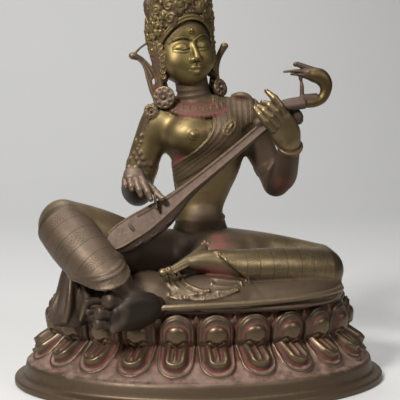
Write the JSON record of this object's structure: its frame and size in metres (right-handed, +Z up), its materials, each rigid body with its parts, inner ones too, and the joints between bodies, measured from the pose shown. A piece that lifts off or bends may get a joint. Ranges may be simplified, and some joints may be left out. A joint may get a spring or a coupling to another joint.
{
  "type": "saraswati figure",
  "caption": "Cast bronze of a seated goddess playing a long-necked lute with a goose's head, on an oval double-lotus base.",
  "frame": {"origin": "centre of the underside of the lotus base", "axes": "+Z up, +X to the figure's own left, -Y to the front of the base"},
  "size_m": [0.318, 0.229, 0.3722],
  "materials": {
    "base_bronze": "worn brown bronze with brick-red pigment in the hollows",
    "figure_bronze": "olive-gold bronze, polished on the raised parts, brown in the folds",
    "lute_bronze": "dull pinkish-brown bronze"
  },
  "bodies": {
    "root": {"lotus_base": "base_bronze", "figure": "figure_bronze", "lute": "lute_bronze"}
  },
  "joints": []
}
